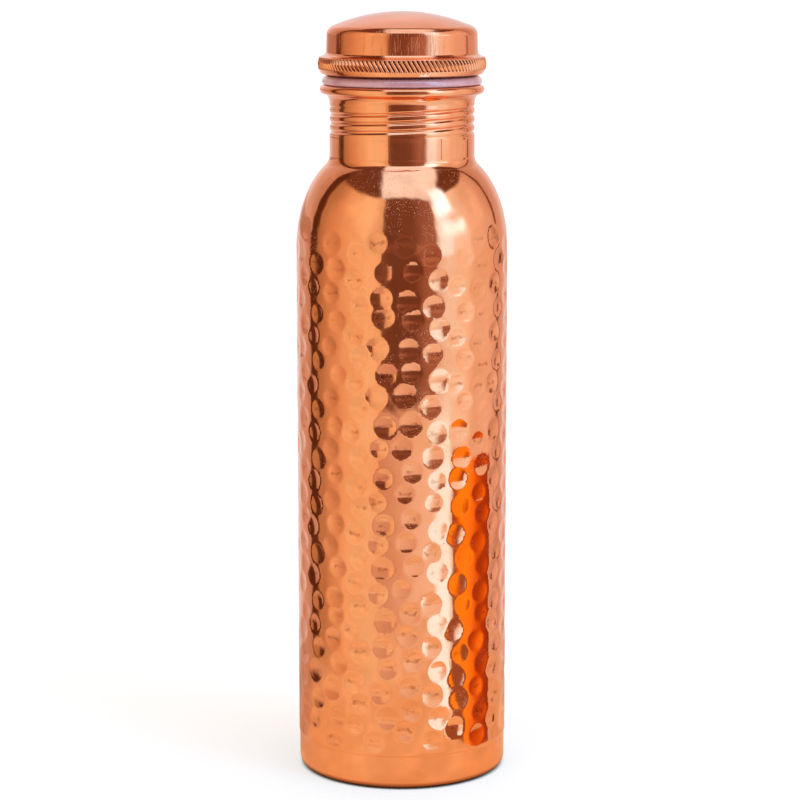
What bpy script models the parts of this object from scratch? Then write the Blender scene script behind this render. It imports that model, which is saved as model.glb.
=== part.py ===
"""A screw-top water bottle in hammered copper sheet, modelled piece by piece.

Metres, +Z up. The origin is the centre of the foot ring, on the surface the bottle stands on.
The lid screws into the neck on a right-handed two-start thread, with a silicone seal under its rim.
Every piece is an outline of (r, z) points spun about the bottle's axis.
"""

import math

import bmesh
import bpy

SHEET = 0.0007            # thickness of the copper sheet
GAP = 0.0003              # joint clearance between neighbouring pieces

# Facets and tolerances
STEPS = 40                # facets round a plain piece
THREAD_STEPS = 36         # facets round a threaded piece
THREAD_ROWS = 6           # rows of vertices in one thread pitch
ON_AXIS = 1e-6            # closer to the axis than this is on it
SHARP = math.radians(40)  # edges bent more than this stay sharp

# Body and base
BODY_RADIUS = 0.0365      # over the hammered wall
BAND_RADIUS = 0.03625     # smooth band above the foot
BAND_TOP = 0.0118
BAND_STEP = 0.0002        # half the height of the step from the band to the wall
CORNER_RADIUS = 0.003     # from the band into the foot
HEM_INNER_RADIUS = 0.031  # bottom edge of the wall, turned in under the base
SHOULDER_Z = 0.184        # the straight wall ends here
SHOULDER_WIDTH = 0.0207   # half axes of the shoulder's elliptical arc
SHOULDER_HEIGHT = 0.033
SHOULDER_END = 64.6       # degrees along that arc where the spigot begins
BASE_FLOOR = [(0.0, 0.0034), (0.016, 0.0030), (0.0285, 0.0024)]   # pushed up towards its middle
BASE_RIM = 0.0305         # the base comes down to the hem at this radius
BASE_BEAD = (0.0006, 0.001)   # width and height of the brazed seam above the base's skirt

# Neck and rolled lip
NECK_RADIUS = 0.02494     # plain part of the neck, outside
NECK_BOTTOM = 0.2149
SPIGOT_TOP = 0.2190       # the shoulder's upturned edge, inside the neck
NECK_CREST = 0.0249       # outside radius of the neck over its threads
NECK_THREAD = (0.2227, 0.2331)
NECK_RUN_IN = 0.0005      # height between the plain neck and the thread
FLARE_OUTSIDE = [(0.02525, 0.23535), (0.02595, 0.2363)]
FLARE_INSIDE = [(0.0246, 0.2366), (0.0243, 0.2354)]
LIP_RADIUS = 0.0266       # centre of the rolled lip's section
LIP_Z = 0.2382
LIP_BEAD = 0.00163        # section radius of the rolled lip
FILLET_ANGLE = 59.3       # degrees along the shoulder's arc where the brazed fillet begins
FILLET_TOP = 0.2159

# Thread
THREAD_LEAD = 0.0059      # rise in one turn
THREAD_STARTS = 2
THREAD_PITCH = THREAD_LEAD / THREAD_STARTS
THREAD_SHIFT = 0.001      # height of a crest at angle 0, above a whole number of pitches
THREAD_DEPTH = 0.00075
THREAD_RUN_OUT = THREAD_PITCH / 3
THREAD_CLEARANCE = 0.00025

# Lid: plug
PLUG_THREAD = (0.2258, 0.2334)
PLUG_BOTTOM = 0.2246
PLUG_CORNER = 0.0004      # bevel at the plug's bottom edge
PLUG_BORE = 0.02235
PLUG_SHANK = 0.0234
PLUG_FLANGE = 0.02485
PLUG_HEM_INNER_RADIUS = 0.0205
DISH_RADII = (0.0175, 0.0185)   # top and foot of the step in the disc that closes the plug
DISH_RISE = 0.0008
LID_BEAD = 0.0012         # width and height of the bead over the plug's flange

# Lid: knurled ring
RING_BOTTOM = 0.2429      # the face on the seal
RING_FACE_RADIUS = 0.0259
RING_EDGE = (0.0275, 0.24375)   # where the underside meets the plain band below the knurl
RING_BAND_RADIUS = 0.02855      # top of that plain band
RING_RADIUS = 0.02885     # over the knurl
RING_SHOULDER = 0.0283    # just above the knurl
KNURL_BAND = (0.2452, 0.2490)
RING_LEDGE = 0.2452       # inside, where the plug's flange and the crown stand
RING_TOP = 0.25025
RING_TOP_EDGE = (0.0273, 0.2495)

# Lid: crown
CROWN_TOP = 0.2646
CROWN_DOME = 0.060        # radius of the domed top
CROWN_CORNER = 0.0033
CROWN_TOP_RADIUS = 0.0258
CROWN_FOOT_RADIUS = 0.026

# Seal
SEAL_INNER = 0.02375
SEAL_OUTER = 0.0275
SEAL_BEVEL = 0.0004       # of its inner edges
SEAL_ROUNDS = (0.0008, 0.0015)   # radii of its outer edges, below and above

# Looks: colour, metallic and roughness
HAMMERED_COPPER = ((0.92, 0.38, 0.19, 1.0), 1.0, 0.10)
PLAIN_COPPER = ((0.92, 0.38, 0.19, 1.0), 1.0, 0.14)
INNER_COPPER = ((0.83, 0.34, 0.17, 1.0), 1.0, 0.25)
FILLER = ((0.90, 0.37, 0.18, 1.0), 1.0, 0.18)
SILICONE = ((0.69, 0.34, 0.37, 1.0), 0.0, 0.25)


# ---------------------------------------------------------------- tools

def clear_scene():
    for obj in list(bpy.data.objects):
        bpy.data.objects.remove(obj)


def finish(name, look):
    colour, metallic, roughness = look
    material = bpy.data.materials.new(name)
    material.use_nodes = True
    shader = material.node_tree.nodes["Principled BSDF"]
    shader.inputs["Base Color"].default_value = colour
    shader.inputs["Metallic"].default_value = metallic
    shader.inputs["Roughness"].default_value = roughness
    return material


def arc(centre, radius, start, end, count):
    """Points (r, z) along an arc, or an ellipse where radius is a pair; angles in degrees from +r."""
    wide, tall = radius if isinstance(radius, tuple) else (radius, radius)
    points = []
    for i in range(count):
        angle = math.radians(start + (end - start) * i / (count - 1))
        points.append((centre[0] + wide * math.cos(angle), centre[1] + tall * math.sin(angle)))
    return points


def unit(a, b):
    """Direction from one point to another, of length 1."""
    length = math.dist(a, b)
    return (b[0] - a[0]) / length, (b[1] - a[1]) / length


def sheet_outline(outer, thickness=SHEET):
    """Closes the outline of a bent sheet: outer, then the same line moved thickness to its left."""
    inner = []
    last = len(outer) - 1
    for i, (r, z) in enumerate(outer):
        before = outer[max(i - 1, 0)]
        after = outer[min(i + 1, last)]
        first = unit(before, (r, z)) if i > 0 else unit((r, z), after)
        second = unit((r, z), after) if i < last else first
        normal = (-(first[1] + second[1]), first[0] + second[0])
        scale = thickness / (0.5 * (normal[0] ** 2 + normal[1] ** 2))
        inner.append((r + normal[0] * scale if r > ON_AXIS else 0.0, z + normal[1] * scale))
    return outer + inner[::-1]


def turned(name, outline, look, steps=STEPS):
    """Spins a closed outline of (r, z) points about the Z axis into a named object."""
    mesh = bpy.data.meshes.new(name)
    bm = bmesh.new()
    verts = [bm.verts.new((r, 0.0, z)) for r, z in outline]
    pairs = zip(verts, verts[1:] + verts[:1])
    edges = [bm.edges.new(pair) for pair in pairs if max(v.co.x for v in pair) > ON_AXIS]
    bmesh.ops.spin(bm, geom=verts + edges, cent=(0, 0, 0), axis=(0, 0, 1),
                   angle=math.tau, steps=steps, use_merge=True)
    bmesh.ops.remove_doubles(bm, verts=bm.verts, dist=ON_AXIS)
    bmesh.ops.recalc_face_normals(bm, faces=bm.faces)
    bm.to_mesh(mesh)
    bm.free()
    mesh.shade_smooth()
    mesh.set_sharp_from_angle(angle=SHARP)
    mesh.materials.append(finish(name, look))
    obj = bpy.data.objects.new(name, mesh)
    bpy.context.collection.objects.link(obj)
    return obj


# ---------------------------------------------------------------- thread

def thread_wave(angle, z):
    """1 at the thread's crest and 0 at its root, for a point at this angle and height."""
    rise = z - THREAD_SHIFT - THREAD_LEAD * angle / math.tau
    return 0.5 + 0.5 * math.cos(math.tau * rise / THREAD_PITCH)


def fade(z, zone):
    """1 inside the zone, falling to 0 over the run-out at each end."""
    share = min(z - zone[0], zone[1] - z) / THREAD_RUN_OUT
    return min(max(share, 0.0), 1.0)


def rows(zone):
    """Heights of the vertex rows in a threaded zone, bottom to top."""
    count = round((zone[1] - zone[0]) / THREAD_PITCH * THREAD_ROWS)
    return [zone[0] + (zone[1] - zone[0]) * i / count for i in range(count + 1)]


def roll_thread(obj, zone, start, offset):
    """Moves the zone's vertices by the thread's wave: down from its crest or up from its root.

    start is the smallest radius that the thread reaches, and offset is 1 where the plain wall
    runs out at the crest and 0 where it runs out at the root.
    """
    for vert in obj.data.vertices:
        radius = math.hypot(vert.co.x, vert.co.y)
        if radius < start:
            continue
        angle = math.atan2(vert.co.y, vert.co.x)
        wave = thread_wave(angle, vert.co.z) - offset
        threaded = radius + THREAD_DEPTH * wave * fade(vert.co.z, zone)
        vert.co.x *= threaded / radius
        vert.co.y *= threaded / radius


# ---------------------------------------------------------------- bottle

def foot_corner():
    """Centre of the rounded corner between the smooth band and the foot."""
    return BAND_RADIUS - CORNER_RADIUS, CORNER_RADIUS


def shoulder_centre():
    return BODY_RADIUS - SHOULDER_WIDTH, SHOULDER_Z


def body_shell():
    """Wall, shoulder and upturned spigot in one sheet; its bottom edge is turned in under the base."""
    spigot = NECK_RADIUS - SHEET - GAP
    outer = [(HEM_INNER_RADIUS, 0.0)]
    outer += arc(foot_corner(), CORNER_RADIUS, -90, 0, count=4)
    outer += [(BAND_RADIUS, BAND_TOP - BAND_STEP), (BODY_RADIUS, BAND_TOP + BAND_STEP)]
    outer += arc(shoulder_centre(), (SHOULDER_WIDTH, SHOULDER_HEIGHT), 0, SHOULDER_END, count=9)
    outer += [(spigot, NECK_BOTTOM - GAP), (spigot, SPIGOT_TOP)]
    return turned("body_shell", sheet_outline(outer), HAMMERED_COPPER)


def base_pan():
    """Pressed base: a skirt inside the wall, a rim standing on the hem, and a floor pushed up."""
    corner = foot_corner()
    rim_radius = CORNER_RADIUS - SHEET - GAP
    outer = BASE_FLOOR + [(BASE_RIM, SHEET + GAP)]
    outer += arc(corner, rim_radius, -90, 0, count=4)
    outer += [(corner[0] + rim_radius, BAND_TOP - GAP)]
    return turned("base_pan", sheet_outline(outer), INNER_COPPER)


def base_braze():
    """Brazed seam inside the wall, on top of the base's skirt."""
    skirt = BAND_RADIUS - SHEET - GAP
    width, height = BASE_BEAD
    outline = [(skirt - width, BAND_TOP), (skirt, BAND_TOP), (skirt, BAND_TOP + height)]
    return turned("base_braze", outline, FILLER)


def neck_collar():
    """Threaded neck: a lap over the spigot, a plain part, the rolled thread and the rolled lip."""
    inner_radius = NECK_RADIUS - SHEET
    inner_crest = NECK_CREST - SHEET
    plain_top = NECK_THREAD[0] - NECK_RUN_IN
    thread = rows(NECK_THREAD)
    outline = [(inner_radius, NECK_BOTTOM), (NECK_RADIUS, NECK_BOTTOM), (NECK_RADIUS, plain_top)]
    outline += [(NECK_CREST, z) for z in thread]
    outline += FLARE_OUTSIDE
    outline += arc((LIP_RADIUS, LIP_Z), LIP_BEAD, -100, 150, count=8)
    outline += FLARE_INSIDE
    outline += [(inner_crest, z) for z in reversed(thread)]
    outline += [(inner_radius, plain_top)]
    obj = turned("neck_collar", outline, PLAIN_COPPER, steps=THREAD_STEPS)
    roll_thread(obj, NECK_THREAD, start=0.0, offset=1)
    return obj


def neck_braze():
    """Concave fillet of filler between the shoulder and the neck, clear of both by the gap."""
    beside_neck = NECK_RADIUS + GAP
    raised = (SHOULDER_WIDTH + GAP, SHOULDER_HEIGHT + GAP)
    toe = arc(shoulder_centre(), raised, FILLET_ANGLE, FILLET_ANGLE + 1, count=2)[0]
    share = (beside_neck - shoulder_centre()[0]) / raised[0]
    root = (beside_neck, SHOULDER_Z + raised[1] * math.sqrt(1 - share ** 2))
    top = (beside_neck, FILLET_TOP)
    middle = tuple((a + 2 * b + c) / 4 for a, b, c in zip(toe, root, top))
    return turned("neck_braze", [root, toe, middle, top], FILLER)


def seal_ring():
    """Thick washer with rounded edges between the ring's face and the lip."""
    low = LIP_Z + LIP_BEAD + GAP
    high = RING_BOTTOM - GAP
    below, above = SEAL_ROUNDS
    outline = arc((SEAL_OUTER - below, low + below), below, -90, 0, count=3)
    outline += arc((SEAL_OUTER - above, high - above), above, 0, 90, count=4)
    outline += [(SEAL_INNER + SEAL_BEVEL, high), (SEAL_INNER, high - SEAL_BEVEL)]
    outline += [(SEAL_INNER, low + SEAL_BEVEL), (SEAL_INNER + SEAL_BEVEL, low)]
    return turned("seal_ring", outline, SILICONE)


# ---------------------------------------------------------------- lid

def plug_sleeve():
    """Threaded sleeve of the lid: flange at the top, plain shank, thread, and a turned-in hem."""
    root = NECK_CREST - SHEET - THREAD_CLEARANCE - THREAD_DEPTH
    flange = RING_LEDGE + GAP
    outline = [(PLUG_HEM_INNER_RADIUS, PLUG_BOTTOM), (root - PLUG_CORNER, PLUG_BOTTOM)]
    outline += [(root, PLUG_BOTTOM + PLUG_CORNER)]
    outline += [(root, z) for z in rows(PLUG_THREAD)]
    outline += [(PLUG_SHANK, PLUG_THREAD[1] + PLUG_CORNER), (PLUG_SHANK, flange)]
    outline += [(PLUG_FLANGE, flange), (PLUG_FLANGE, flange + SHEET)]
    outline += [(PLUG_BORE, flange + SHEET), (PLUG_BORE, PLUG_BOTTOM + SHEET)]
    outline += [(PLUG_HEM_INNER_RADIUS, PLUG_BOTTOM + SHEET)]
    obj = turned("plug_sleeve", outline, INNER_COPPER, steps=THREAD_STEPS)
    roll_thread(obj, PLUG_THREAD, start=(PLUG_BORE + root) / 2, offset=0)
    return obj


def plug_floor():
    """Disc that closes the sleeve, standing on its hem and dished up for stiffness."""
    bottom = PLUG_BOTTOM + SHEET + GAP
    outer = [(0.0, bottom + DISH_RISE), (DISH_RADII[0], bottom + DISH_RISE),
             (DISH_RADII[1], bottom), (PLUG_BORE - GAP, bottom)]
    return turned("plug_floor", sheet_outline(outer), INNER_COPPER, steps=THREAD_STEPS)


def knurled_ring():
    """Grip ring: bored for the plug, rebated for the crown, with a bold rounded rim."""
    bore = PLUG_SHANK + GAP
    rebate = CROWN_FOOT_RADIUS + GAP
    low, high = KNURL_BAND
    outline = [(bore, RING_BOTTOM), (RING_FACE_RADIUS, RING_BOTTOM), RING_EDGE]
    outline += [(RING_BAND_RADIUS, low), (RING_RADIUS, (low + high) / 2), (RING_SHOULDER, high)]
    outline += [RING_TOP_EDGE, (rebate, RING_TOP), (rebate, RING_LEDGE), (bore, RING_LEDGE)]
    return turned("knurled_ring", outline, PLAIN_COPPER)


def lid_crown():
    """Drawn cap: domed top, rounded corner, and a side that stands on the ring's ledge."""
    corner_r = CROWN_TOP_RADIUS - CROWN_CORNER
    dome_z = CROWN_TOP - CROWN_DOME
    reach = CROWN_DOME - CROWN_CORNER
    corner_z = dome_z + math.sqrt(reach ** 2 - corner_r ** 2)
    tangent = math.degrees(math.atan2(corner_z - dome_z, corner_r))
    outer = [(CROWN_FOOT_RADIUS, RING_LEDGE + GAP), (CROWN_FOOT_RADIUS, RING_TOP)]
    outer += arc((corner_r, corner_z), CROWN_CORNER, 0, tangent, count=5)
    outer += arc((0.0, dome_z), CROWN_DOME, tangent, 90, count=5)[1:]
    return turned("lid_crown", sheet_outline(outer), PLAIN_COPPER)


def lid_braze():
    """Bead that holds the plug's flange in the crown."""
    low = RING_LEDGE + GAP + SHEET + GAP
    outline = [(PLUG_FLANGE - LID_BEAD, low), (PLUG_FLANGE, low), (PLUG_FLANGE, low + LID_BEAD)]
    return turned("lid_braze", outline, FILLER)


def main():
    clear_scene()
    for piece in (body_shell, base_pan, base_braze, neck_collar, neck_braze, seal_ring,
                  plug_sleeve, plug_floor, knurled_ring, lid_crown, lid_braze):
        piece()


main()
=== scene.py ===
"""Looks of the hammered copper water bottle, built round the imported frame.

Every piece is turned about the bottle's axis from an outline of (r, z) points, in millimetres, and
mesh_object() turns them into metres. The wall's dimples, the rolled thread, the knurl and the
neck's seam are real shape, worked out from the sizes below. The studio, in metres, is a world of
soft panels, with a pale floor that the camera sees and a few sheets that only the copper mirrors.
"""

import math
from collections import namedtuple

import bpy
import numpy as np
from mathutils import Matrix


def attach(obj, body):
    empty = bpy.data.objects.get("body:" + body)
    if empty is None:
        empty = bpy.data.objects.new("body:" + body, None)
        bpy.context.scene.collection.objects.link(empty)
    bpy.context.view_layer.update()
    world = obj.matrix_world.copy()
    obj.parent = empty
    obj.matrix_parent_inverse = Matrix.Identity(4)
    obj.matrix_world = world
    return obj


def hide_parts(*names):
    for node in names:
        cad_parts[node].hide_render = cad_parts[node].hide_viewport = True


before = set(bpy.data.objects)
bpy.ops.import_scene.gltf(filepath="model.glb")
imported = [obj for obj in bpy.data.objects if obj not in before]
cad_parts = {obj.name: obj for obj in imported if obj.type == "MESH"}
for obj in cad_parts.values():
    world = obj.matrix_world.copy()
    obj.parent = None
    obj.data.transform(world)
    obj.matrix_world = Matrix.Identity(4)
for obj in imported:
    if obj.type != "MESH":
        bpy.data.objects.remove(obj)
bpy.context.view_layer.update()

MM = 0.001

# Sizes shared with the CAD, in millimetres
SHEET = 0.7               # thickness of the copper sheet
JOINT_GAP = 0.3           # between pieces that are brazed or crimped together
BODY_RADIUS = 36.5
BAND_RADIUS = 36.25       # smooth band above the foot
BAND_TOP = 11.8
CORNER_RADIUS = 3.0
HEM_INNER_RADIUS = 31.0
SHOULDER_Z = 184.0        # the straight wall ends here
SHOULDER_WIDTH = 20.7     # half axes of the shoulder's elliptical arc
SHOULDER_HEIGHT = 33.0
SHOULDER_END = 64.6       # degrees along that arc where the neck begins
NECK_RADIUS = 24.94
NECK_BOTTOM = 214.9
SPIGOT_TOP = 219.0
LIP_Z = 238.2
LIP_RADIUS = 26.6
LIP_BEAD = 1.63
THREAD_LEAD = 5.9
THREAD_PITCH = THREAD_LEAD / 2
THREAD_DEPTH = 0.75
THREAD_SHIFT = 1.0        # height of a crest at angle 0, above a whole number of pitches
OUTSIDE_DEPTH = 0.6       # the grooves look shallower and narrower from outside the neck
FILLET_ANGLE = 59.3       # degrees along the shoulder's arc where the neck's fillet begins
NECK_CREST = 24.9
NECK_THREAD = (222.7, 233.1)
PLUG_ROOT = 23.2
PLUG_THREAD = (225.8, 233.4)
PLUG_BOTTOM = 224.6
PLUG_BORE = 22.35
PLUG_SHANK = 23.4
PLUG_FLANGE = 24.85
PLUG_HEM_INNER_RADIUS = 20.5
RING_BOTTOM = 242.9
RING_TOP = 250.25
RING_RADIUS = 28.85
RING_LEDGE = 245.2
CROWN_TOP = 264.6
CROWN_DOME = 60.0
CROWN_CORNER = 3.3
CROWN_TOP_RADIUS = 25.8
CROWN_FOOT_RADIUS = 26.0
SEAL_INNER = 23.75
SEAL_OUTER = 27.5
SEAL_ROUNDS = (0.9, 2.0)  # of its outer edges, below and above

# Hammer marks on the wall
MARK_SEED = 11
MARK_COLUMNS = 25
MARK_PITCH = 8.5          # between marks in one column
MARK_ZIGZAG = 1.1         # how far a column's marks stand left and right of it
MARK_JITTER = 0.6
MARK_RADIUS = (3.35, 4.15)
MARK_SLOPE = (0.20, 0.26)  # slope of a mark's bowl at its rim
MARK_LOWEST = 16.4
MARK_HIGHEST = 193.5
CELL = 0.735              # size of the wall's mesh
RIM_REACH = 0.48          # share of a cell that a vertex moves to sit on a mark's rim

# Knurl on the grip ring
KNURL_FLUTES = 112
KNURL_DEPTH = 0.66
KNURL_BAND = (245.2, 249.0)
KNURL_LEAN = 1.35         # flutes that one flute leans across the band
GROOVE_RADIUS = 28.42     # painted shade darkens the knurl where it is cut deeper than this

# The neck's brazed seam
SEAM_ANGLE = math.radians(-58)
SEAM_WIDTH = 0.16
SEAM_DEPTH = 0.10

# Worked out from the sizes above
FOOT_CENTRE = (BAND_RADIUS - CORNER_RADIUS, CORNER_RADIUS)
SHOULDER_CENTRE = (BODY_RADIUS - SHOULDER_WIDTH, SHOULDER_Z)
WALL_BOTTOM = BAND_TOP + 0.4            # above the step over the smooth band
PLUG_LEDGE = RING_LEDGE + JOINT_GAP     # the sleeve's flange and the cap's foot rest here

# Colours of the copper, as linear light
LIGHT_COPPER = (0.94, 0.405, 0.210)
DARK_COPPER = (0.90, 0.355, 0.165)
# Painted dark reflection in the middle of some hammer marks
DIMPLE_DARK_REFLECTION = (0.54, 0.19, 0.08)
# Painted shade in the knurl's grooves
GROOVE_SHADE = (0.36, 0.11, 0.04)

# Camera
LENS = 121.5
SENSOR = 36.0
CAMERA_AT = (-0.0007, -0.929, 0.292)
CAMERA_PITCH = 9.89       # degrees below level

# The studio's light stands in its colours divided by this, and its strengths make up for it
GAIN = 6.0

Mark = namedtuple("Mark", "angle along radius depth")


# ---------------------------------------------------------------- outlines

def rounded(corners, closed=True, per_turn=48):
    """Outline through corners of (r, z) or (r, z, radius); a corner with a radius is filleted."""
    count = len(corners)
    points = []
    for i, corner in enumerate(corners):
        here = np.array(corner[:2], float)
        radius = corner[2] if len(corner) > 2 else 0.0
        inside = closed or 0 < i < count - 1
        if not radius or not inside:
            points.append(tuple(here))
            continue
        before = unit(np.array(corners[i - 1][:2], float) - here)
        after = unit(np.array(corners[(i + 1) % count][:2], float) - here)
        half = math.acos(max(-1.0, min(1.0, float(before @ after)))) / 2
        centre = here + unit(before + after) * radius / math.sin(half)
        first = here + before * radius / math.tan(half) - centre
        last = here + after * radius / math.tan(half) - centre
        turn = math.pi - 2 * half
        steps = max(2, math.ceil(per_turn * turn / math.tau))
        for k in range(steps + 1):
            share = k / steps
            side = math.sin((1 - share) * turn), math.sin(share * turn)
            points.append(tuple(centre + (first * side[0] + last * side[1]) / math.sin(turn)))
    return points


def unit(vector):
    return vector / np.linalg.norm(vector)


def arc(centre, radius, start, end, count):
    """Points along an arc, or an ellipse where radius is a pair; angles in degrees from +r."""
    wide, tall = radius if isinstance(radius, tuple) else (radius, radius)
    angles = np.radians(np.linspace(start, end, count))
    return [(centre[0] + wide * math.cos(a), centre[1] + tall * math.sin(a)) for a in angles]


def dense(outline, step, zone=None, closed=True):
    """Splits the outline's long edges, everywhere or only where z is inside the zone."""
    points = []
    ends = outline[1:] + outline[:1] if closed else outline[1:] + outline[-1:]
    for a, b in zip(outline, ends):
        points.append(a)
        length = math.dist(a, b)
        middle = (a[1] + b[1]) / 2
        if length <= step or (zone and not zone[0] <= middle <= zone[1]):
            continue
        count = math.ceil(length / step)
        points += [tuple(np.array(a) + (np.array(b) - np.array(a)) * k / count)
                   for k in range(1, count)]
    return points


def sheet(outer, thickness=SHEET):
    """Closes the outline of a bent sheet: outer, then the same line moved thickness to its left."""
    line = np.array(outer, float)
    ahead = np.diff(line, axis=0)
    ahead /= np.linalg.norm(ahead, axis=1)[:, None]
    first = np.vstack([ahead[:1], ahead])
    second = np.vstack([ahead, ahead[-1:]])
    normal = np.column_stack([-(first + second)[:, 1], (first + second)[:, 0]])
    inner = line + normal * (2 * thickness / (normal ** 2).sum(axis=1))[:, None]
    inner[line[:, 0] < 1e-6, 0] = 0.0
    return outer + [tuple(p) for p in inner[::-1]]


# ---------------------------------------------------------------- meshes

def mesh_object(name, verts, faces, sharp=40.0):
    """A smooth-shaded object from vertices in millimetres."""
    mesh = bpy.data.meshes.new(name)
    mesh.from_pydata((np.asarray(verts) * MM).tolist(), [], faces)
    mesh.validate()
    mesh.shade_smooth()
    mesh.set_sharp_from_angle(angle=math.radians(sharp))
    obj = bpy.data.objects.new(name, mesh)
    bpy.context.collection.objects.link(obj)
    return obj


def turned(name, outline, columns=256, press=None, angles=None):
    """Spins a closed outline, counter-clockwise in (r, z), about the Z axis.

    press(angle, r, z) gives how far each point moves outwards from the axis.
    """
    if angles is None:
        angles = np.linspace(0, math.tau, columns, endpoint=False)
    line = np.array(outline, float)
    angle, r = np.meshgrid(angles, line[:, 0], indexing="ij")
    z = np.broadcast_to(line[:, 1], r.shape)
    if press is not None:
        r = r + press(angle, r, z)
    verts = np.stack([r * np.cos(angle), r * np.sin(angle), z], axis=-1)
    around, along = r.shape
    keep = np.ones((around, along), int)
    axis = line[:, 0] < 1e-6
    index = np.arange(around * along).reshape(around, along)
    index[:, axis] = index[0, axis]
    keep[1:, axis] = 0
    renumber = np.cumsum(keep.ravel()) - 1
    faces = []
    nxt = np.roll(index, -1, axis=0)
    for j in range(along):
        k = (j + 1) % along
        if axis[j] and axis[k]:
            continue
        corners = [index[:, j], nxt[:, j], nxt[:, k], index[:, k]]
        if axis[j]:
            corners = [corners[0], corners[2], corners[3]]
        elif axis[k]:
            corners = [corners[0], corners[1], corners[2]]
        faces += renumber[np.stack(corners, axis=1)].tolist()
    return mesh_object(name, verts.reshape(-1, 3)[keep.ravel() == 1], faces)


def finish_piece(piece, body, nodes, material):
    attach(piece, body)
    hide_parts(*nodes)
    piece.data.materials.append(material)


# ---------------------------------------------------------------- the hammered wall

def hammer_marks():
    """Every mark's middle, radius and depth, in staggered columns; along is up the wall's line."""
    rng = np.random.default_rng(MARK_SEED)
    marks = []
    for column in range(MARK_COLUMNS):
        place = MARK_LOWEST + rng.uniform(0, 1.2) + (column % 2) * MARK_PITCH / 2
        row = 0
        while place < MARK_HIGHEST - rng.uniform(0, 5):
            side = MARK_ZIGZAG * (1 if row % 2 else -1)
            across = side + rng.normal(0, MARK_JITTER)
            radius = rng.uniform(*MARK_RADIUS)
            slope = rng.uniform(*MARK_SLOPE)
            if place > MARK_HIGHEST - 14:
                slope *= rng.uniform(0.55, 0.95)
            angle = math.tau * column / MARK_COLUMNS + across / BODY_RADIUS
            along = place + rng.normal(0, MARK_JITTER)
            marks.append(Mark(angle, along, radius, slope * radius / 2))
            place += MARK_PITCH * rng.uniform(0.93, 1.07)
            row += 1
    return marks


def turn_from(start, angle):
    """The turn from one angle to another, the short way round."""
    return np.angle(np.exp(1j * (angle - start)))


def near_marks(angle, along, radius, rows, marks):
    """For every mark, the grid points near it, and how far right of it and above it they are."""
    columns = angle.shape[0]
    step = math.tau / columns
    for mark in marks:
        reach = mark.radius + CELL
        wide = int(reach / BODY_RADIUS / step * 1.3) + 2     # more, for the shoulder's narrow cells
        middle = round(mark.angle / step)
        around = np.arange(middle - wide, middle + wide + 1) % columns
        low, high = np.searchsorted(rows, (mark.along - reach, mark.along + reach))
        near = around, slice(low, high)
        right = turn_from(mark.angle, angle[near]) * radius[near]
        yield mark, near, right, along[near] - mark.along


def hammered(angle, along, radius, rows, marks):
    """Depth of the marks below the wall at each grid point; marks that meet leave a ridge."""
    depth = np.zeros_like(angle)
    for mark, near, right, above in near_marks(angle, along, radius, rows, marks):
        share = (right ** 2 + above ** 2) / mark.radius ** 2
        bowl = mark.depth * np.clip(1 - share, 0, None)
        depth[near] = np.maximum(depth[near], bowl)
    return depth


def mark_places(angle, along, radius, rows, marks):
    """Where each grid point lies in its mark: right of the middle, above it, and how far in.

    The first two are in millimetres; the third is 1 in the middle and 0 at the rim.
    """
    places = np.zeros(angle.shape + (3,))
    for mark, near, right, above in near_marks(angle, along, radius, rows, marks):
        inwards = 1 - (right ** 2 + above ** 2) / mark.radius ** 2
        patch = places[near]
        take = inwards > patch[..., 2]
        patch[take] = np.stack([right, above, inwards], axis=-1)[take]
        places[near] = patch
    return places


def seat_on_rims(angle, along, radius, rows, marks):
    """Moves the vertices nearest to a mark's rim onto it, so that every rim is round and crisp."""
    nearest = np.full(angle.shape, RIM_REACH * CELL)
    new_angle, new_along = angle.copy(), along.copy()
    for mark, near, right, above in near_marks(angle, along, radius, rows, marks):
        distance = np.hypot(right, above)
        miss = np.abs(distance - mark.radius)
        take = miss < nearest[near]
        scale = mark.radius / np.maximum(distance, 1e-6)
        turn = turn_from(angle[near], mark.angle + right * scale / radius[near])
        for grid, moved in ((new_angle, angle[near] + turn),
                            (new_along, mark.along + above * scale), (nearest, miss)):
            patch = grid[near]
            patch[take] = moved[take]
            grid[near] = patch
    return new_angle, new_along


def body_foot():
    """Outer line of the body from its hem, round its corner and up over the smooth band."""
    line = [(HEM_INNER_RADIUS, SHEET / 2), (HEM_INNER_RADIUS + 0.1, 0.1),
            (HEM_INNER_RADIUS + 0.3, 0.0)]
    line += arc(FOOT_CENTRE, CORNER_RADIUS, -90, 0, 14)
    line += [(BAND_RADIUS, z) for z in np.linspace(4.0, BAND_TOP - 0.35, 9)]
    line += [(BAND_RADIUS + 0.02, BAND_TOP - 0.12), (BAND_RADIUS + 0.11, BAND_TOP + 0.02),
             (BODY_RADIUS - 0.06, BAND_TOP + 0.16), (BODY_RADIUS, WALL_BOTTOM)]
    return line


def body_inside():
    """Inner line of the body, from the spigot inside the neck down to its hem."""
    spigot = NECK_RADIUS - SHEET - JOINT_GAP
    line = [(spigot, NECK_BOTTOM - 0.3), (spigot, SPIGOT_TOP - 0.2),
            (spigot - 0.2, SPIGOT_TOP), (spigot - SHEET + 0.2, SPIGOT_TOP),
            (spigot - SHEET, SPIGOT_TOP - 0.2), (spigot - SHEET, NECK_BOTTOM - 0.4)]
    axes = (SHOULDER_WIDTH - SHEET, SHOULDER_HEIGHT - SHEET)
    line += arc(SHOULDER_CENTRE, axes, SHOULDER_END - 0.5, 0, 20)
    line += [(BODY_RADIUS - SHEET, WALL_BOTTOM), (BAND_RADIUS - SHEET, BAND_TOP - 0.3)]
    line += arc(FOOT_CENTRE, CORNER_RADIUS - SHEET, 0, -90, 6)
    line += [(HEM_INNER_RADIUS + 0.2, SHEET), (HEM_INNER_RADIUS, SHEET - 0.15)]
    return line


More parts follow.
